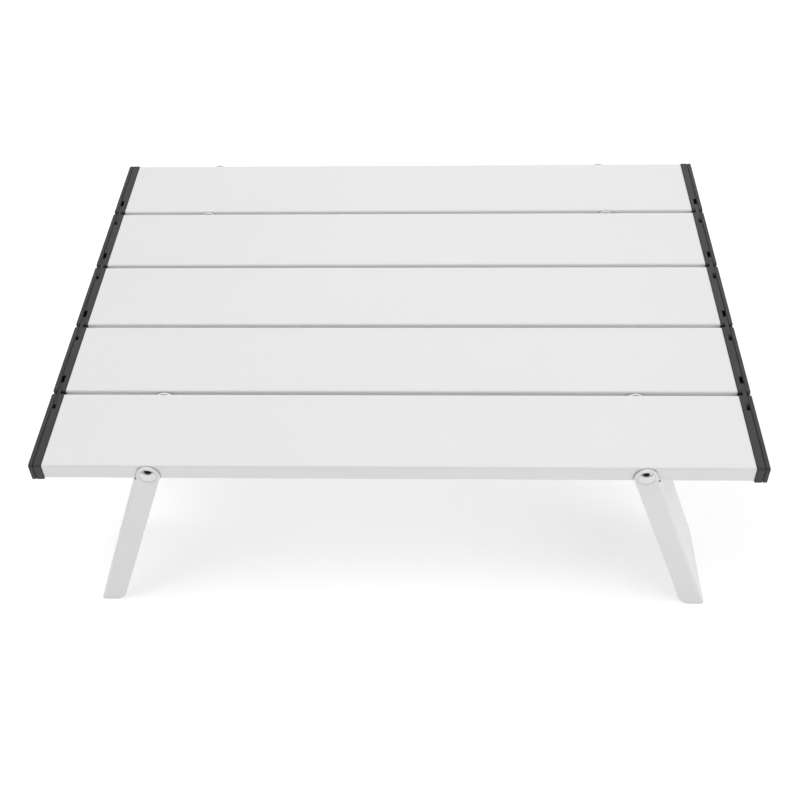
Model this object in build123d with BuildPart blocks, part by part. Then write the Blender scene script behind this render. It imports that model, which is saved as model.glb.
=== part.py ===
from build123d import *
from math import cos, radians, sin
import os

os.makedirs("parts", exist_ok=True)

# A low folding side table. Slats run along X, the table's depth is along Y, and Z = 0 is the floor.
# Slat 1 is the rear one (+Y). Every size is in millimetres.

# Overall size
table_length = 400.0  # along X, over the end caps
table_depth = 290.0  # along Y, over the slats
table_height = 120.0  # floor to the top of the end caps

# Slats: open aluminium channels with inward lips
slat_count = 5
slat_gap = 2.4
slat_thickness = 10.0
slat_wall = 1.2
slat_lip = 5.0
slat_edge_radius = 1.2
slat_lower_radius = 1.0
lip_notch_length = 16.0  # the lips are cut back around each leg rivet

# End caps: a moulded body that plugs into the slat, and a cover plate outside it
cap_body_thickness = 4.6
cap_cover_thickness = 2.6
cap_proud = 0.4  # how far the cap stands out around the slat's section
cap_lower_radius = 0.8
cap_edge_break = 0.4  # both mouldings are broken here, which leaves a groove where they meet
cover_end_radius = 1.0
cover_round_margin = 0.05  # the least that the lower corners' radius exceeds the end round's
plug_length = 12.0
plug_clearance = 0.1
plug_wall = 1.8
plug_pockets = 3
stud_radius = 1.8
stud_clearance = 0.1
peg_radius = 1.45
peg_length = 2.4
peg_spacing = 18.0
peg_clearance = 0.05

# Hinges: one link plate at each end of a seam, on one pin in each neighbouring cap
pin_radius = 1.25
pin_inset = 5.0  # from the slat's edge
pin_height = 2.5  # above the slat's underside
pin_running_clearance = 0.05
pin_seat_clearance = 0.02
pin_chamfer = 0.3
pin_grip = 1.8  # length of pin held in the body's inner wall
cover_pin_depth = 1.6
link_thickness = 2.1
link_side_clearance = 0.1
link_eye_radius = 2.3
link_tail = 4.2  # behind the pin: it rests on the slot's floor and stops the top from sagging
link_tail_corner_radius = 3.0
link_recess = 0.4  # below the cap's top
link_stop_clearance = 0.05
slot_length = 12.5  # from the slat's edge
slot_floor = 1.6  # floor thickness above the slat's underside
slot_floor_setback = 2.6  # from the pin to the floor's edge

# Legs: sheet channels whose flanges straddle the first and the last slat
leg_inset = 65.0  # from the table's end to the leg's pivot
leg_splay = 20.0  # degrees from upright
leg_sheet = 1.2
leg_flange = 13.0
leg_bend_radius = 2.0  # outside
leg_clearance = 0.15
leg_stop_clearance = 0.03
pivot_drop = 6.8  # below the slat's top
relief_radius = 1.1
relief_lift = 1.0  # the bend relief's centre above the web's top edge
foot_inner_radius = 8.5

# Leg rivets
rivet_radius = 2.0
rivet_running_clearance = 0.05
rivet_head_radius = 4.7
dome_height = 1.8
flat_head_height = 0.4
rivet_head_gap = 0.05
rivet_tail_radius = 3.0
rivet_tail_height = 1.3
washer_radius = 3.1
washer_thickness = 0.6

# Worked out from the above
slat_width = (table_depth - (slat_count - 1) * slat_gap) / slat_count
slat_pitch = slat_width + slat_gap
slat_half = table_length / 2 - cap_body_thickness - cap_cover_thickness
slat_top = table_height - cap_proud
slat_base = slat_top - slat_thickness
slat_middle = slat_base + slat_thickness / 2
inner_width = slat_width - 2 * slat_wall
inner_height = slat_thickness - 2 * slat_wall
lip_middle = inner_width / 2 - slat_lip / 2
cap_outer = table_length / 2
cover_inner = cap_outer - cap_cover_thickness
slot_width = link_thickness + 2 * link_side_clearance
slot_inner = cover_inner - slot_width
pin_start = slot_inner - pin_grip
pin_end = cover_inner + cover_pin_depth
pin_z = slat_base + pin_height
pivot_x = table_length / 2 - leg_inset
pivot_z = slat_top - pivot_drop
half_flange = leg_flange / 2
channel_width = slat_width + 2 * (leg_clearance + leg_sheet)
splay = radians(leg_splay)
leg_length = pivot_z / cos(splay)
# The web's top edge meets the slat's underside: that is what stops the leg at its splay.
web_top = (pivot_z - slat_base + half_flange * sin(splay)) / cos(splay) + leg_stop_clearance

slat_rows = {n: ((slat_count + 1) / 2 - n) * slat_pitch for n in range(1, slat_count + 1)}
leg_rows = {"rear": 1, "front": slat_count}
sides = {"left": -1, "right": 1}


def save(part, name):
    """Name a finished piece and write its file."""
    part.label = name
    export_step(part, f"parts/{name}.step")


def hinge_edges(n):
    """The directions along Y in which slat n has a neighbour."""
    return [e for e in (-1, 1) if 1 <= n - e <= slat_count]


def make_slat(n):
    """An open channel: top plate, two sides and two lips, with holes for the cap studs and leg rivets."""
    y = slat_rows[n]
    with BuildPart() as slat:
        with BuildSketch(Plane.YZ.offset(-slat_half)):
            with Locations((y, slat_middle)):
                outer = Rectangle(slat_width, slat_thickness)
            fillet(outer.vertices().group_by(Axis.Y)[-1], slat_edge_radius)
            fillet(outer.vertices().group_by(Axis.Y)[0], slat_lower_radius)
            with Locations((y, slat_middle)):
                Rectangle(inner_width, inner_height, mode=Mode.SUBTRACT)
            with Locations((y, slat_base)):
                Rectangle(inner_width - 2 * slat_lip, 2 * slat_wall + plug_clearance, mode=Mode.SUBTRACT)
        extrude(amount=2 * slat_half)
        stud_x = slat_half - plug_length / 2
        stud_places = [(i * stud_x, y + j * lip_middle, slat_base) for i in (-1, 1) for j in (-1, 1)]
        with Locations(*stud_places):
            Cylinder(stud_radius + stud_clearance, 3 * slat_wall, mode=Mode.SUBTRACT)
        if n in leg_rows.values():
            with Locations(*[(side * pivot_x, y, slat_base) for side in sides.values()]):
                Box(lip_notch_length, inner_width, 2 * slat_wall, mode=Mode.SUBTRACT)
            rivet_axes = [Plane((side * pivot_x, y, pivot_z), z_dir=(0, 1, 0)) for side in sides.values()]
            with Locations(*rivet_axes):
                Cylinder(rivet_radius + rivet_running_clearance, 2 * slat_width, mode=Mode.SUBTRACT)
    return slat.part


def cap_section(y):
    """The cap's outline across the slat, a little larger than the slat's own."""
    with Locations((y, slat_middle)):
        outline = Rectangle(slat_width + 2 * cap_proud, slat_thickness + 2 * cap_proud)
    fillet(outline.vertices().group_by(Axis.Y)[-1], slat_edge_radius + cap_proud)
    fillet(outline.vertices().group_by(Axis.Y)[0], cap_lower_radius)


def make_cap_body(n, side):
    """The inner half of a cap: a shoulder with the hinge slots, and a cored plug inside the slat."""
    y = slat_rows[n]
    plug_height = inner_height - 2 * plug_clearance
    plug_width = inner_width - 2 * plug_clearance
    pocket_width = (plug_width - (plug_pockets + 1) * plug_wall) / plug_pockets
    with BuildPart() as body:
        with BuildSketch(Plane.YZ.offset(side * slat_half)):
            cap_section(y)
        extrude(amount=side * cap_body_thickness)
        shoulder_faces = body.faces().filter_by(Axis.X)
        chamfer(shoulder_faces.edges(), cap_edge_break)
        with Locations((side * (slat_half - plug_length / 2), y, slat_middle)):
            Box(plug_length, plug_width, plug_height)
        stud_x = side * (slat_half - plug_length / 2)
        with Locations(*[(stud_x, y + j * lip_middle, slat_base) for j in (-1, 1)]):
            Cylinder(stud_radius, slat_wall + plug_clearance, align=(Align.CENTER, Align.CENTER, Align.MIN))
        with Locations((side * (slat_half - plug_length / 2), y, slat_middle - plug_wall)):
            with GridLocations(1, pocket_width + plug_wall, 1, plug_pockets):
                Box(plug_length - 2 * plug_wall, pocket_width, plug_height, mode=Mode.SUBTRACT)
        with Locations(*[(stud_x, y + j * lip_middle, slat_base) for j in (-1, 1)]):
            Cylinder(stud_radius, plug_height, align=(Align.CENTER, Align.CENTER, Align.MIN))
        slot_x = side * (slot_inner + slot_width / 2)
        for e in hinge_edges(n):
            edge = y + e * (slat_width / 2 + cap_proud)
            through = pin_inset + slot_floor_setback + cap_proud
            blind = slot_length + cap_proud
            with Locations((slot_x, edge, slat_middle)):
                Box(slot_width, 2 * through, 2 * slat_thickness, mode=Mode.SUBTRACT)
            with Locations((slot_x, edge, slat_base + slot_floor)):
                Box(
                    slot_width,
                    2 * blind,
                    2 * slat_thickness,
                    align=(Align.CENTER, Align.CENTER, Align.MIN),
                    mode=Mode.SUBTRACT,
                )
            pin_y = y + e * (slat_width / 2 - pin_inset)
            with Locations(Plane((side * pin_start, pin_y, pin_z), z_dir=(side, 0, 0))):
                Cylinder(
                    pin_radius + pin_seat_clearance,
                    cap_body_thickness,
                    align=(Align.CENTER, Align.CENTER, Align.MIN),
                    mode=Mode.SUBTRACT,
                )
        with Locations(Plane((side * cover_inner, y, slat_middle), x_dir=(0, 1, 0), z_dir=(side, 0, 0))):
            with GridLocations(peg_spacing, 1, 2, 1):
                Cylinder(peg_radius + peg_clearance, 2 * (peg_length + peg_clearance), mode=Mode.SUBTRACT)
    return body.part


def make_cap_cover(n, side):
    """The outer plate of a cap: it closes the hinge slots and holds the pins' outer ends."""
    y = slat_rows[n]
    with BuildPart() as cover:
        with BuildSketch(Plane.YZ.offset(side * cover_inner)):
            cap_section(y)
        extrude(amount=side * cap_cover_thickness)
        end_faces = cover.faces().filter_by(Axis.X).sort_by(Axis.X)
        outer_face = end_faces[-1] if side > 0 else end_faces[0]
        inner_face = end_faces[0] if side > 0 else end_faces[-1]
        end_round = min(cover_end_radius, cap_cover_thickness / 2, cap_lower_radius - cover_round_margin)
        fillet(outer_face.edges(), end_round)
        chamfer(inner_face.edges(), cap_edge_break)
        for e in hinge_edges(n):
            pin_y = y + e * (slat_width / 2 - pin_inset)
            with Locations(Plane((side * cover_inner, pin_y, pin_z), z_dir=(side, 0, 0))):
                Cylinder(pin_radius + pin_seat_clearance, 2 * cover_pin_depth, mode=Mode.SUBTRACT)
        with Locations(Plane((side * cover_inner, y, slat_middle), x_dir=(0, 1, 0), z_dir=(-side, 0, 0))):
            with GridLocations(peg_spacing, 1, 2, 1):
                Cylinder(peg_radius, peg_length, align=(Align.CENTER, Align.CENTER, Align.MIN))
    return cover.part


def make_hinge_pins(n, side):
    """The steel pins held by one cap, one for each neighbouring slat."""
    with BuildPart() as pins:
        for e in hinge_edges(n):
            pin_y = slat_rows[n] + e * (slat_width / 2 - pin_inset)
            with Locations(Plane((side * pin_start, pin_y, pin_z), z_dir=(side, 0, 0))):
                Cylinder(pin_radius, pin_end - pin_start, align=(Align.CENTER, Align.CENTER, Align.MIN))
        chamfer(pins.edges().filter_by(GeomType.CIRCLE), pin_chamfer)
    return pins.part


def make_hinge_link(n, side):
    """The plate across the seam between slats n and n + 1: two low eyes, and a square tail behind each."""
    y = (slat_rows[n] + slat_rows[n + 1]) / 2
    pin_spacing = slat_gap + 2 * pin_inset
    plate_length = pin_spacing + 2 * link_tail
    plate_base = slat_base + slot_floor + link_stop_clearance
    plate_top = slat_top + cap_proud - link_recess
    with BuildPart() as link:
        with BuildSketch(Plane.YZ.offset(side * (cover_inner - link_side_clearance))):
            with Locations((y, (plate_base + plate_top) / 2)):
                plate = Rectangle(plate_length, plate_top - plate_base)
            fillet(plate.vertices().group_by(Axis.Y)[-1], link_tail_corner_radius)
            with Locations((y, pin_z)):
                SlotCenterToCenter(pin_spacing, 2 * link_eye_radius)
                with GridLocations(pin_spacing, 1, 2, 1):
                    Circle(pin_radius + pin_running_clearance, mode=Mode.SUBTRACT)
        extrude(amount=-side * link_thickness)
    return link.part


def make_leg(row, side):
    """A channel bent from sheet: round flange tops on the pivots, a web outboard, and a level foot."""
    y = slat_rows[leg_rows[row]]
    down = (side * sin(splay), 0, -cos(splay))
    pivot = (side * pivot_x, y, pivot_z)
    across = Plane(pivot, x_dir=(0, side, 0), z_dir=down)
    profile = Plane(pivot, x_dir=down, z_dir=(0, -side, 0))
    web_inner = half_flange - leg_sheet
    with BuildPart() as leg:
        with BuildSketch(across.offset(-half_flange)):
            outer = Rectangle(channel_width, leg_flange)
            fillet(outer.vertices().group_by(Axis.Y)[-1], leg_bend_radius)
            with Locations((0, web_inner)):
                Rectangle(
                    channel_width - 2 * leg_sheet,
                    2 * leg_flange,
                    align=(Align.CENTER, Align.MAX),
                    mode=Mode.SUBTRACT,
                )
        extrude(amount=leg_length + 2 * leg_flange)
        with BuildSketch(profile):
            Circle(half_flange)
            Rectangle(leg_length + leg_flange, leg_flange, align=(Align.MIN, Align.CENTER))
        extrude(amount=channel_width, both=True, mode=Mode.INTERSECT)
        split(bisect_by=Plane.XY, keep=Keep.TOP)
        flange_toes = leg.edges().filter_by(Axis.Y).group_by(Axis.Z)[0]
        fillet(flange_toes.filter_by(lambda toe: toe.length < 2 * leg_sheet), foot_inner_radius)
        with Locations(across.offset(web_top)):
            with Locations((0, half_flange, 0)):
                Box(
                    channel_width - 2 * leg_sheet,
                    4 * leg_sheet,
                    3 * leg_flange,
                    align=(Align.CENTER, Align.CENTER, Align.MAX),
                    mode=Mode.SUBTRACT,
                )
        with BuildSketch(profile):
            with Locations((web_top - relief_lift, half_flange)):
                Circle(relief_radius)
        extrude(amount=channel_width, both=True, mode=Mode.SUBTRACT)
        with Locations(Plane(pivot, z_dir=(0, 1, 0))):
            Cylinder(rivet_radius + rivet_running_clearance, 2 * channel_width, mode=Mode.SUBTRACT)
    return leg.part


def rivet_seats(row, side):
    """For one leg: the rivet centres on the flanges' outer faces, with outward direction and head."""
    n = leg_rows[row]
    for outward in (-1, 1):
        face_y = slat_rows[n] + outward * channel_width / 2
        faces_a_seam = outward in hinge_edges(n)
        yield (side * pivot_x, face_y, pivot_z), outward, faces_a_seam


def make_leg_rivets(row, side):
    """A leg's two pivots: domed on the table's outside, low and flat where the head stands in a seam."""
    shank_end = -(leg_sheet + leg_clearance + slat_wall + washer_thickness)
    tail_end = shank_end - rivet_tail_height
    with BuildPart() as rivets:
        for centre, outward, faces_a_seam in rivet_seats(row, side):
            head_top = rivet_head_gap + (flat_head_height if faces_a_seam else dome_height)
            with BuildSketch(Plane(centre, x_dir=(1, 0, 0), z_dir=(0, 0, outward))):
                with BuildLine():
                    Polyline(
                        (0, head_top),
                        (0, tail_end),
                        (rivet_tail_radius, tail_end),
                        (rivet_tail_radius, shank_end),
                        (rivet_radius, shank_end),
                        (rivet_radius, rivet_head_gap),
                        (rivet_head_radius, rivet_head_gap),
                    )
                    if faces_a_seam:
                        Polyline(
                            (rivet_head_radius, rivet_head_gap),
                            (rivet_head_radius, head_top - flat_head_height / 2),
                            (rivet_head_radius - flat_head_height / 2, head_top),
                            (0, head_top),
                        )
                    else:
                        RadiusArc(
                            (rivet_head_radius, rivet_head_gap),
                            (0, head_top),
                            -(rivet_head_radius**2 + dome_height**2) / (2 * dome_height),
                        )
                make_face()
            revolve(axis=Axis(centre, (0, outward, 0)))
    return rivets.part


def make_leg_washers(row, side):
    """The washers under the two rivets' tails, inside the slat."""
    with BuildPart() as washers:
        for centre, outward, _ in rivet_seats(row, side):
            seat_y = centre[1] - outward * (leg_sheet + leg_clearance + slat_wall)
            with BuildSketch(Plane((centre[0], seat_y, centre[2]), z_dir=(0, -outward, 0))):
                Circle(washer_radius)
                Circle(rivet_radius + rivet_running_clearance, mode=Mode.SUBTRACT)
            extrude(amount=washer_thickness)
    return washers.part


for n in slat_rows:
    save(make_slat(n), f"slat_{n}")
    for side_name, side in sides.items():
        save(make_cap_body(n, side), f"cap_body_{n}_{side_name}")
        save(make_cap_cover(n, side), f"cap_cover_{n}_{side_name}")
        save(make_hinge_pins(n, side), f"hinge_pins_{n}_{side_name}")
        if n < slat_count:
            save(make_hinge_link(n, side), f"hinge_link_{n}{n + 1}_{side_name}")

for row in leg_rows:
    for side_name, side in sides.items():
        save(make_leg(row, side), f"leg_{row}_{side_name}")
        save(make_leg_rivets(row, side), f"leg_rivets_{row}_{side_name}")
        save(make_leg_washers(row, side), f"leg_washers_{row}_{side_name}")
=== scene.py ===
import math

import bpy
import numpy as np
from mathutils import Euler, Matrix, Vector


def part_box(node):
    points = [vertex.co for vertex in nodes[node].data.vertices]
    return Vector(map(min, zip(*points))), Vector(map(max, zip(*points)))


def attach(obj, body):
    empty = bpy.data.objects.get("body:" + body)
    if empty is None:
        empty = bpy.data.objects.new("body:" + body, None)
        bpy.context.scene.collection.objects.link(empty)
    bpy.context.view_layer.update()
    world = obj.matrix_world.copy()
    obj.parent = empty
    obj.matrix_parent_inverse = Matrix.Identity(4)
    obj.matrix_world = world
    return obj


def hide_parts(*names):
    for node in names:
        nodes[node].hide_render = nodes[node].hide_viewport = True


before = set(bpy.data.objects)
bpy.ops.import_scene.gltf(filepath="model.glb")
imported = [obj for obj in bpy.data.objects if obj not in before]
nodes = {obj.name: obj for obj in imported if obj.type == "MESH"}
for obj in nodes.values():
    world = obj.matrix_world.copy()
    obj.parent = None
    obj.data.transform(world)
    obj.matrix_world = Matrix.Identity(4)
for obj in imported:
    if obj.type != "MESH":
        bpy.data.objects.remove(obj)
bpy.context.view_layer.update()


# ---- Studio --------------------------------------------------------------------------------------------
# A seamless pale floor that curves up behind the table, lit by three large soft lamps and a white sky.
# The camera looks down at the table from the front, a little to its right.

camera_place = (0.0266, -0.5662, 0.5875)
camera_turn = (45.32, 1.434, 1.645)
camera_lens = 52.68
floor_front = -3.0
floor_back = 2.2
floor_side = 3.5
sweep_radius = 1.2
sweep_steps = 24
wall_top = 3.0
studio_white = (0.93, 0.93, 0.93, 1.0)
dark_side = (0.0, -0.77, 0.64)
dark_edge = (0.70, 0.86)
dark_level = 0.03
floor_glow = 0.34  # the floor gives off a little light, so that the shadows on it stay pale


def start_material(name):
    """A node material; returns it with its tree and its Principled shader."""
    material = bpy.data.materials.new(name)
    material.use_nodes = True
    return material, material.node_tree, material.node_tree.nodes["Principled BSDF"]


def grid_mesh(name, points, wrap_u=False, wrap_v=False):
    """A surface from an array of points [u, v, xyz]: each cell is one face, and an axis may close up."""
    count_u, count_v = points.shape[:2]
    index = np.arange(count_u * count_v).reshape(count_u, count_v)
    if wrap_u:
        index = np.vstack([index, index[:1]])
    if wrap_v:
        index = np.hstack([index, index[:, :1]])
    faces = np.stack([index[:-1, :-1], index[1:, :-1], index[1:, 1:], index[:-1, 1:]], axis=-1).reshape(-1, 4)
    mesh = bpy.data.meshes.new(name)
    mesh.from_pydata(points.reshape(-1, 3).tolist(), [], faces.tolist())
    mesh.polygons.foreach_set("use_smooth", np.ones(len(mesh.polygons), dtype=bool))
    return mesh


def add_object(name, mesh, material):
    """Puts a mesh into the scene as an object at the origin, with one material."""
    mesh.materials.append(material)
    piece = bpy.data.objects.new(name, mesh)
    bpy.context.scene.collection.objects.link(piece)
    return piece


# Floor height along its depth: level, then a quarter circle, then upright.
turn = np.linspace(0.0, math.pi / 2, sweep_steps)
wall_y = floor_back + sweep_radius
floor_y = np.concatenate([[floor_front], floor_back + sweep_radius * np.sin(turn), [wall_y]])
floor_z = np.concatenate([[0.0], sweep_radius * (1.0 - np.cos(turn)), [wall_top]])
floor_x = np.linspace(-floor_side, floor_side, 3)
floor_points = np.empty((len(floor_x), len(floor_y), 3))
floor_points[..., 0] = floor_x[:, None]
floor_points[..., 1] = floor_y
floor_points[..., 2] = floor_z
floor_material, _, floor_shader = start_material("studio_paper")
floor_shader.inputs["Base Color"].default_value = studio_white
floor_shader.inputs["Roughness"].default_value = 0.9
floor_shader.inputs["Emission Color"].default_value = studio_white
floor_shader.inputs["Emission Strength"].default_value = floor_glow
studio_floor = add_object("studio_floor", grid_mesh("studio_floor", floor_points), floor_material)

camera = bpy.data.objects.new("camera", bpy.data.cameras.new("camera"))
camera.data.lens = camera_lens
camera.data.sensor_width = 36.0
camera.location = camera_place
camera.rotation_euler = Euler([math.radians(angle) for angle in camera_turn])
bpy.context.scene.collection.objects.link(camera)
bpy.context.scene.camera = camera

sky = bpy.data.worlds.new("sky")
sky.use_nodes = True
sky.node_tree.nodes["Background"].inputs["Strength"].default_value = 0.68
bpy.context.scene.world = sky

# The dark side of the room, high in front of the table: the sky falls to a deep grey in a soft round patch.
sky_place = sky.node_tree.nodes.new("ShaderNodeTexCoord")
sky_nearness = sky.node_tree.nodes.new("ShaderNodeVectorMath")
sky_nearness.operation = "DOT_PRODUCT"
sky_nearness.inputs[1].default_value = dark_side
sky_range = sky.node_tree.nodes.new("ShaderNodeMapRange")
sky_range.interpolation_type = "SMOOTHSTEP"
for sky_input, sky_value in zip(("From Min", "From Max", "To Min", "To Max"), (*dark_edge, 1.0, dark_level)):
    sky_range.inputs[sky_input].default_value = sky_value
sky.node_tree.links.new(sky_place.outputs["Generated"], sky_nearness.inputs[0])
sky.node_tree.links.new(sky_nearness.outputs["Value"], sky_range.inputs["Value"])
sky.node_tree.links.new(sky_range.outputs["Result"], sky.node_tree.nodes["Background"].inputs["Color"])
bpy.context.scene.view_settings.view_transform = "Standard"

# Each lamp: place, side length and power; all face the middle of the table top.
lamps = {
    "key": ((-0.8, -0.35, 2.0), 1.4, 13.0),
    "fill": ((1.3, -0.9, 1.2), 1.6, 9.5),
    "rim": ((0.2, 1.5, 1.5), 1.4, 7.0),
}
table_middle = Vector((0.0, 0.0, 0.1))
for lamp_name, (place, side_length, power) in lamps.items():
    lamp = bpy.data.objects.new(lamp_name, bpy.data.lights.new(lamp_name, "AREA"))
    lamp.data.size = side_length
    lamp.data.energy = power
    lamp.location = place
    lamp.rotation_euler = (table_middle - Vector(place)).to_track_quat("-Z", "Y").to_euler()
    bpy.context.scene.collection.objects.link(lamp)


# ---- Slats ---------------------------------------------------------------------------------------------
# Five aluminium channels, extruded with inward lips along their open undersides and powder coated white.
# The outer two have their lips cut back around the leg rivets. The coat is thinner on the rolled edges.

millimetre = 0.001
slat_wall = 1.2 * millimetre
slat_lip = 5.0 * millimetre
edge_radius = 1.2 * millimetre
lower_radius = 1.0 * millimetre
lip_end_radius = 0.5 * millimetre
corner_steps = 7
notch_half = 8.0 * millimetre
notch_ease = 1.6 * millimetre
notched_lip = 0.1 * millimetre
end_break = 0.25 * millimetre
inner_corner_radius = 0.4 * millimetre
corner_share = 0.4  # the most of a short lip that a corner may take
even_stations = 9
ease_stations = 9
stud_hole_steps = 24
stud_hole_radius = 1.9 * millimetre
stud_setback = 6.0 * millimetre
slat_white = (0.80, 0.80, 0.795, 1.0)
rubbed_white = (0.90, 0.90, 0.90, 1.0)


def new_group(name, inputs, output, kind="NodeSocketFloat"):
    """A node group with float inputs, given as name and default, and one output; returns its three nodes."""
    group = bpy.data.node_groups.new(name, "ShaderNodeTree")
    for socket, default in inputs.items():
        made = group.interface.new_socket(socket, in_out="INPUT", socket_type="NodeSocketFloat")
        made.default_value = default
    group.interface.new_socket(output, in_out="OUTPUT", socket_type=kind)
    return group, group.nodes.new("NodeGroupInput"), group.nodes.new("NodeGroupOutput")


def join(tree, value, socket):
    """Sets a socket to a plain number or links another socket to it."""
    if isinstance(value, (int, float)):
        socket.default_value = value
    else:
        tree.links.new(value, socket)


def compute(tree, operation, *values):
    """One Math node on sockets or plain numbers; returns its output."""
    node = tree.nodes.new("ShaderNodeMath")
    node.operation = operation
    for socket, value in zip(node.inputs, values):
        join(tree, value, socket)
    return node.outputs[0]


def noise(tree, scale, detail=2.0, stretch=(1.0, 1.0, 1.0)):
    """Noise on object coordinates, in cells per metre, stretched along the axes."""
    place = tree.nodes.new("ShaderNodeTexCoord")
    mapping = tree.nodes.new("ShaderNodeMapping")
    mapping.inputs["Scale"].default_value = stretch
    texture = tree.nodes.new("ShaderNodeTexNoise")
    texture.inputs["Detail"].default_value = detail
    tree.links.new(place.outputs["Object"], mapping.inputs["Vector"])
    tree.links.new(mapping.outputs["Vector"], texture.inputs["Vector"])
    join(tree, scale, texture.inputs["Scale"])
    return texture.outputs["Fac"]


# Fine skin: soft orange peel plus sharper grain, as one height.
skin_inputs = {"Peel": 350.0, "Grain": 2400.0, "Grain Share": 0.4}
fine_skin, skin_in, skin_out = new_group("fine_skin", skin_inputs, "Height")
grain_noise = noise(fine_skin, skin_in.outputs["Grain"])
skin_grain = compute(fine_skin, "MULTIPLY", grain_noise, skin_in.outputs["Grain Share"])
skin_sum = compute(fine_skin, "ADD", noise(fine_skin, skin_in.outputs["Peel"], 1.0), skin_grain)
fine_skin.links.new(skin_sum, skin_out.inputs["Height"])

# Tone drift: one, plus broad noise centred on nought, to multiply a colour or roughness by.
tone_drift, drift_in, drift_out = new_group("tone_drift", {"Scale": 9.0, "Depth": 0.05}, "Factor")
drift_noise = compute(tone_drift, "SUBTRACT", noise(tone_drift, drift_in.outputs["Scale"], 3.0), 0.5)
drift_sum = compute(tone_drift, "MULTIPLY_ADD", drift_noise, drift_in.outputs["Depth"], 1.0)
tone_drift.links.new(drift_sum, drift_out.inputs["Factor"])

# Edge wear: the angle between the bevelled normal and the true one, broken up by noise.
wear_inputs = {"Reach": 0.0006, "Amount": 0.5, "Break Up": 700.0}
edge_wear, wear_in, wear_out = new_group("edge_wear", wear_inputs, "Mask")
wear_bevel = edge_wear.nodes.new("ShaderNodeBevel")
wear_bevel.samples = 4
wear_shape = edge_wear.nodes.new("ShaderNodeNewGeometry")
wear_dot = edge_wear.nodes.new("ShaderNodeVectorMath")
wear_dot.operation = "DOT_PRODUCT"
edge_wear.links.new(wear_in.outputs["Reach"], wear_bevel.inputs["Radius"])
edge_wear.links.new(wear_bevel.outputs["Normal"], wear_dot.inputs[0])
edge_wear.links.new(wear_shape.outputs["Normal"], wear_dot.inputs[1])
wear_angle = compute(edge_wear, "SUBTRACT", 1.0, wear_dot.outputs["Value"])
wear_patches = noise(edge_wear, wear_in.outputs["Break Up"], 4.0)
wear_raw = compute(edge_wear, "MULTIPLY", compute(edge_wear, "MULTIPLY", wear_angle, 5.0), wear_patches)
wear_capped = compute(edge_wear, "MINIMUM", wear_raw, 1.0)
wear_mask = compute(edge_wear, "MULTIPLY", wear_capped, wear_in.outputs["Amount"])
edge_wear.links.new(wear_mask, wear_out.inputs["Mask"])

# Crevice: one on open surface, falling where other surfaces stand within reach, as in a joint. Its fall
# paints shade into crevices and seams.
crevice, crevice_in, crevice_out = new_group("crevice", {"Reach": 0.001, "Depth": 1.0}, "Open")
crevice_rays = crevice.nodes.new("ShaderNodeAmbientOcclusion")
crevice_rays.samples = 8
crevice.links.new(crevice_in.outputs["Reach"], crevice_rays.inputs["Distance"])
crevice_open = compute(crevice, "POWER", crevice_rays.outputs["AO"], crevice_in.outputs["Depth"])
crevice.links.new(crevice_open, crevice_out.inputs["Open"])


def use_group(tree, group, **values):
    """One use of a shared effect, with its own values; an underscore is a space. Returns its output."""
    node = tree.nodes.new("ShaderNodeGroup")
    node.node_tree = group
    for name, value in values.items():
        node.inputs[name.replace("_", " ")].default_value = value
    return node.outputs[0]


def dimmed_in_crevices(tree, factor, reach, depth):
    """A factor times how open the surface is, so it falls in crevices and joints; on a tone, this is painted
    shade.
    """
    return compute(tree, "MULTIPLY", factor, use_group(tree, crevice, Reach=reach, Depth=depth))


def shade(tree, colour, factor):
    """A plain colour multiplied by a factor that varies over the surface."""
    scale = tree.nodes.new("ShaderNodeVectorMath")
    scale.operation = "SCALE"
    scale.inputs[0].default_value = colour[:3]
    tree.links.new(factor, scale.inputs["Scale"])
    return scale.outputs[0]


def towards(tree, mask, below, above):
    """A colour socket, mixed towards a plain colour by a mask."""
    mix = tree.nodes.new("ShaderNodeMix")
    mix.data_type = "RGBA"
    tree.links.new(mask, mix.inputs["Factor"])
    tree.links.new(below, mix.inputs["A"])
    mix.inputs["B"].default_value = above
    return mix.outputs["Result"]


def bump(tree, shader, height, distance, strength):
    """Feeds a height into the shader's normal as a bump of the given depth."""
    node = tree.nodes.new("ShaderNodeBump")
    node.inputs["Distance"].default_value = distance
    node.inputs["Strength"].default_value = strength
    tree.links.new(height, node.inputs["Height"])
    tree.links.new(node.outputs["Normal"], shader.inputs["Normal"])


def powder_coat(name, colour, roughness):
    """White powder coat on aluminium: orange peel, a slight drift in tone and gloss, paler rubbed edges, and
    painted shade darkening crevices and seams.
    """
    material, tree, shader = start_material(name)
    # Painted shade: the coat's tone is darkened in crevices and seams, where shade falls.
    tone_and_crevice_shade = dimmed_in_crevices(tree, use_group(tree, tone_drift, Scale=7.0, Depth=0.035), reach=0.0012, depth=0.9)
    wear = use_group(tree, edge_wear, Reach=0.0007, Amount=0.12, Break_Up=500.0)
    coat = towards(tree, wear, shade(tree, colour, tone_and_crevice_shade), rubbed_white)
    tree.links.new(coat, shader.inputs["Base Color"])
    gloss = compute(tree, "MULTIPLY", use_group(tree, tone_drift, Scale=45.0, Depth=0.25), roughness)
    tree.links.new(gloss, shader.inputs["Roughness"])
    shader.inputs["Specular IOR Level"].default_value = 0.45
    skin = use_group(tree, fine_skin, Peel=420.0, Grain=2600.0, Grain_Share=0.35)
    bump(tree, shader, skin, distance=0.00012, strength=0.16)
    return material


def arc(centre_y, centre_z, radius, start, end, steps=corner_steps):
    """Points on a circle's arc from one angle to another, in degrees."""
    angle = np.radians(np.linspace(start, end, steps))
    return np.stack([centre_y + radius * np.cos(angle), centre_z + radius * np.sin(angle)], axis=1)


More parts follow.
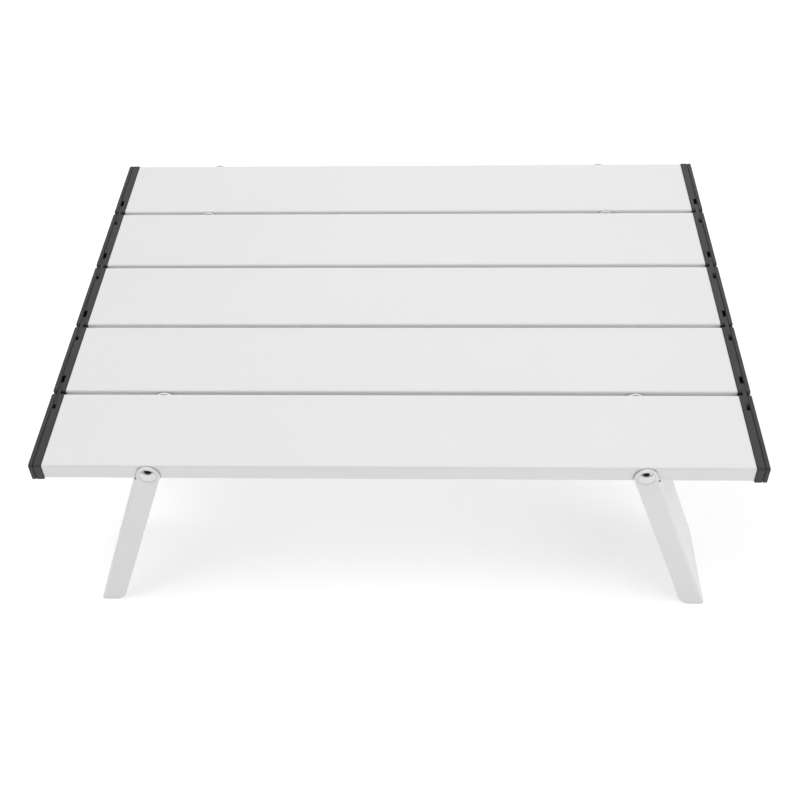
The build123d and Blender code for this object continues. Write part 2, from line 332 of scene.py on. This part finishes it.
def half_channel(half_width, low, high, lip):
    """The slat's section on its +Y side, from the top out, down, round the lip and back under the top.

    Straight runs joined by arcs: the outer edge's radius, the lip's rounded end and the two inner corners.
    """
    inside = half_width - slat_wall
    lip_radius = min(lip_end_radius, corner_share * lip)
    inner_radius = min(inner_corner_radius, corner_share * lip)
    lip_edge = inside - lip
    return np.concatenate([
        [[half_width * 0.5, high]],
        arc(half_width - edge_radius, high - edge_radius, edge_radius, 90, 0),
        arc(half_width - lower_radius, low + lower_radius, lower_radius, 0, -90),
        arc(lip_edge + lip_radius, low + lip_radius, lip_radius, -90, -180),
        arc(lip_edge + lip_radius, low + slat_wall - lip_radius, lip_radius, 180, 90),
        arc(inside - inner_radius, low + slat_wall + inner_radius, inner_radius, -90, 0),
        arc(inside - inner_radius, high - slat_wall - inner_radius, inner_radius, 0, 90),
        [[half_width * 0.5, high - slat_wall]],
    ])


def channel_loop(half_width, low, high, lip):
    """The whole closed section: the +Y half, then its mirror image in reverse order."""
    half = half_channel(half_width, low, high, lip)
    return np.concatenate([half, half[::-1] * (-1.0, 1.0)])


def inset_loop(loop, distance):
    """The loop moved towards its own material: each point goes against the normal between its neighbours."""
    along = np.roll(loop, -1, axis=0) - np.roll(loop, 1, axis=0)
    along /= np.linalg.norm(along, axis=1, keepdims=True)
    inward = np.stack([along[:, 1], -along[:, 0]], axis=1)
    return loop + inward * distance


def lip_at(x, notch_places):
    """Lip length along the slat: full, easing to almost nothing for a stretch either side of each rivet."""
    if not notch_places:
        return np.full_like(x, slat_lip)
    near = np.min([np.abs(x - place) for place in notch_places], axis=0)
    ease = np.clip((near - notch_half) / notch_ease + 0.5, 0.0, 1.0)
    return notched_lip + (slat_lip - notched_lip) * (3 * ease**2 - 2 * ease**3)


def slat_mesh(name, low, high, notch_places):
    """The section carried along X between the slat's ends, with its edges broken at each end face."""
    middle_y = (low.y + high.y) / 2
    half_width = (high.y - low.y) / 2
    fine = [np.linspace(p + s * notch_half - notch_ease, p + s * notch_half + notch_ease, ease_stations)
            for p in notch_places for s in (-1, 1)]
    even = np.linspace(low.x, high.x, even_stations)[1:-1]
    stations = np.unique(np.concatenate([[low.x + end_break, high.x - end_break], even, *fine]))
    loops = [channel_loop(half_width, low.z, high.z, lip) for lip in lip_at(stations, notch_places)]
    loops = [inset_loop(loops[0], end_break), *loops, inset_loop(loops[-1], end_break)]
    stations = np.concatenate([[low.x], stations, [high.x]])
    points = np.empty((len(stations), len(loops[0]), 3))
    points[..., 0] = stations[:, None]
    points[..., 1:] = np.array(loops)
    points[..., 1] += middle_y
    return grid_mesh(name, points, wrap_v=True)


slat_paint = powder_coat("slat_powder_coat", slat_white, roughness=0.42)
rivet_low, rivet_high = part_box("leg_rivets_front_right")
pivot_x = (rivet_low.x + rivet_high.x) / 2


def cylinder_mesh(name, places, radius, low_z, high_z, steps=stud_hole_steps):
    """Upright closed cylinders at the given X, Y places: a ring at each end, each closed by one flat face."""
    angle = np.linspace(0.0, 2 * math.pi, steps, endpoint=False)
    ring = np.stack([radius * np.cos(angle), radius * np.sin(angle)], axis=1)
    points, faces = [], []
    for x, y in places:
        start = len(points) * 2 * steps
        both = np.concatenate([np.column_stack([ring + (x, y), np.full(steps, z)]) for z in (low_z, high_z)])
        points.append(both)
        index = start + np.arange(steps)
        following = start + (np.arange(steps) + 1) % steps
        faces += np.stack([index, following, following + steps, index + steps], axis=1).tolist()
        faces += [index[::-1].tolist(), (index + steps).tolist()]
    mesh = bpy.data.meshes.new(name)
    mesh.from_pydata(np.concatenate(points).tolist(), [], faces)
    return mesh


def close_ends(mesh, ring_size):
    """Closes a tube's two open ends, each with one flat face over its whole ring of points.

    The ring turns clockwise seen from the last end, so the first end keeps it and the last reverses it.
    """
    count = len(mesh.vertices)
    flat = np.empty(count * 3)
    mesh.vertices.foreach_get("co", flat)
    faces = [list(face.vertices) for face in mesh.polygons]
    faces += [list(range(ring_size)), list(range(count - ring_size, count))[::-1]]
    closed = bpy.data.meshes.new(mesh.name)
    closed.from_pydata(flat.reshape(-1, 3).tolist(), [], faces)
    smooth = np.ones(len(faces), dtype=bool)
    smooth[-2:] = False
    closed.polygons.foreach_set("use_smooth", smooth)
    bpy.data.meshes.remove(mesh)
    return closed


def cut_away(piece, cutter):
    """Takes the cutter's shape out of the piece, for good, and removes the cutter."""
    cut = piece.modifiers.new("cut", "BOOLEAN")
    cut.object = cutter
    cut.solver = "EXACT"
    bpy.context.view_layer.update()
    whole = piece.evaluated_get(bpy.context.evaluated_depsgraph_get())
    result = bpy.data.meshes.new_from_object(whole)
    piece.modifiers.clear()
    piece.data = result
    bpy.data.objects.remove(cutter)


def even_normals(piece, crease_degrees=40.0):
    """Shades flat faces flat and rolled edges round: sharp above the crease angle, weighted by area below."""
    piece.data.set_sharp_from_angle(angle=math.radians(crease_degrees))
    weighted = piece.modifiers.new("even_normals", "WEIGHTED_NORMAL")
    weighted.keep_sharp = True


for number in range(1, 6):
    slat_name = f"slat_{number}"
    low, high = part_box(slat_name)
    notches = [-pivot_x, pivot_x] if number in (1, 5) else []
    section = slat_mesh(f"coated_slat_{number}", low, high, notches)
    ring_size = len(channel_loop(high.y - low.y, low.z, high.z, slat_lip))
    slat = add_object(f"coated_slat_{number}", close_ends(section, ring_size), slat_paint)
    lip_middle = (high.y - low.y) / 2 - slat_wall - slat_lip / 2
    centre_y = (low.y + high.y) / 2
    stud_places = [(x, centre_y + side * lip_middle)
                   for x in (low.x + stud_setback, high.x - stud_setback) for side in (-1, 1)]
    hole_ends = (low.z - slat_wall, low.z + 2 * slat_wall)
    cutter_mesh = cylinder_mesh("stud_holes", stud_places, stud_hole_radius, *hole_ends)
    cutter = bpy.data.objects.new("stud_holes", cutter_mesh)
    bpy.context.scene.collection.objects.link(cutter)
    cut_away(slat, cutter)
    even_normals(slat)
    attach(slat, f"slat_{number}_assembly")
    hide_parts(slat_name)


# ---- End caps ------------------------------------------------------------------------------------------
# Each slat end wears a black nylon cap in two mouldings: a body that plugs into the slat and carries the
# hinge slots, and a cover plate pressed on outside it. Both have a fine spark-eroded texture.

cap_black = (0.036, 0.036, 0.037, 1.0)
rubbed_black = (0.085, 0.085, 0.085, 1.0)


def moulded_plastic(name, colour, roughness, wear_amount):
    """Matt moulded nylon: spark-eroded grain, faint flow marks in tone and gloss, greyed where rubbed, and
    painted shade darkening crevices and joints.
    """
    material, tree, shader = start_material(name)
    # Painted shade: the nylon's tone is darkened in crevices and joints, where shade falls.
    tone_and_crevice_shade = dimmed_in_crevices(tree, use_group(tree, tone_drift, Scale=30.0, Depth=0.25), reach=0.0014, depth=3.0)
    rubbed = use_group(tree, edge_wear, Reach=0.0005, Amount=wear_amount, Break_Up=900.0)
    # The rubbed grey is kept out of crevices, so the painted shade there stays dark.
    wear = dimmed_in_crevices(tree, rubbed, reach=0.0014, depth=5.0)
    tree.links.new(towards(tree, wear, shade(tree, colour, tone_and_crevice_shade), rubbed_black), shader.inputs["Base Color"])
    gloss = compute(tree, "MULTIPLY", use_group(tree, tone_drift, Scale=80.0, Depth=0.35), roughness)
    tree.links.new(gloss, shader.inputs["Roughness"])
    shader.inputs["Specular IOR Level"].default_value = 0.4
    skin = use_group(tree, fine_skin, Peel=1800.0, Grain=5200.0, Grain_Share=0.8)
    bump(tree, shader, skin, distance=0.00008, strength=0.35)
    return material


def finish_nodes(start, material):
    """Gives every CAD node whose name begins with this the material."""
    for name, node in nodes.items():
        if name.startswith(start):
            node.data.materials.clear()
            node.data.materials.append(material)


cap_plastic = moulded_plastic("cap_nylon", cap_black, roughness=0.55, wear_amount=0.6)
finish_nodes("cap_body", cap_plastic)
finish_nodes("cap_cover", cap_plastic)


# ---- Hinge links and pins ------------------------------------------------------------------------------
# A flat nylon plate bridges each seam at both ends of the slats, in slots in the caps, and turns on two
# steel pins. The links are a little blacker and glossier than the caps, from rubbing in their slots.

link_black = (0.022, 0.022, 0.023, 1.0)
pin_grey = (0.52, 0.52, 0.53, 1.0)
finish_nodes("hinge_link", moulded_plastic("link_nylon", link_black, roughness=0.42, wear_amount=0.8))


def turned_steel(name, colour, roughness, stretch):
    """Bright steel: fine lines left by turning, slight patches in its tone and gloss, and painted shade
    darkening its crevices.
    """
    material, tree, shader = start_material(name)
    # Painted shade: the steel is darkened in crevices, such as the rim where a rivet's dome meets the leg.
    tone_and_crevice_shade = dimmed_in_crevices(tree, use_group(tree, tone_drift, Scale=300.0, Depth=0.12), reach=0.0006, depth=2.0)
    tree.links.new(shade(tree, colour, tone_and_crevice_shade), shader.inputs["Base Color"])
    shader.inputs["Metallic"].default_value = 1.0
    gloss = compute(tree, "MULTIPLY", use_group(tree, tone_drift, Scale=900.0, Depth=0.5), roughness)
    tree.links.new(gloss, shader.inputs["Roughness"])
    bump(tree, shader, noise(tree, 1500.0, 2.0, stretch), distance=0.00004, strength=0.2)
    return material


pin_steel = turned_steel("pin_steel", pin_grey, roughness=0.34, stretch=(6.0, 1.0, 1.0))
finish_nodes("hinge_pins", pin_steel)


# ---- Legs ----------------------------------------------------------------------------------------------
# Each leg is one sheet of aluminium bent into a channel, with round flange tops that turn on rivets in the
# slat's sides, and a level foot. It is powder coated like the slats.

leg_white = (0.80, 0.80, 0.797, 1.0)
leg_paint = powder_coat("leg_powder_coat", leg_white, roughness=0.45)
finish_nodes("leg_front", leg_paint)
finish_nodes("leg_rear", leg_paint)


# ---- Leg rivets and washers ----------------------------------------------------------------------------
# Bright plated steel rivets hold the legs: a domed head on the table's outside, and a thin flat head in the
# seam. Each tail is set against a steel washer inside the slat.

rivet_bright = (0.62, 0.62, 0.63, 1.0)
washer_steel = turned_steel("washer_steel", pin_grey, roughness=0.38, stretch=(1.0, 6.0, 1.0))
finish_nodes("leg_washers", washer_steel)
rivet_plate = turned_steel("rivet_plate", rivet_bright, roughness=0.12, stretch=(1.0, 8.0, 1.0))
finish_nodes("leg_rivets", rivet_plate)
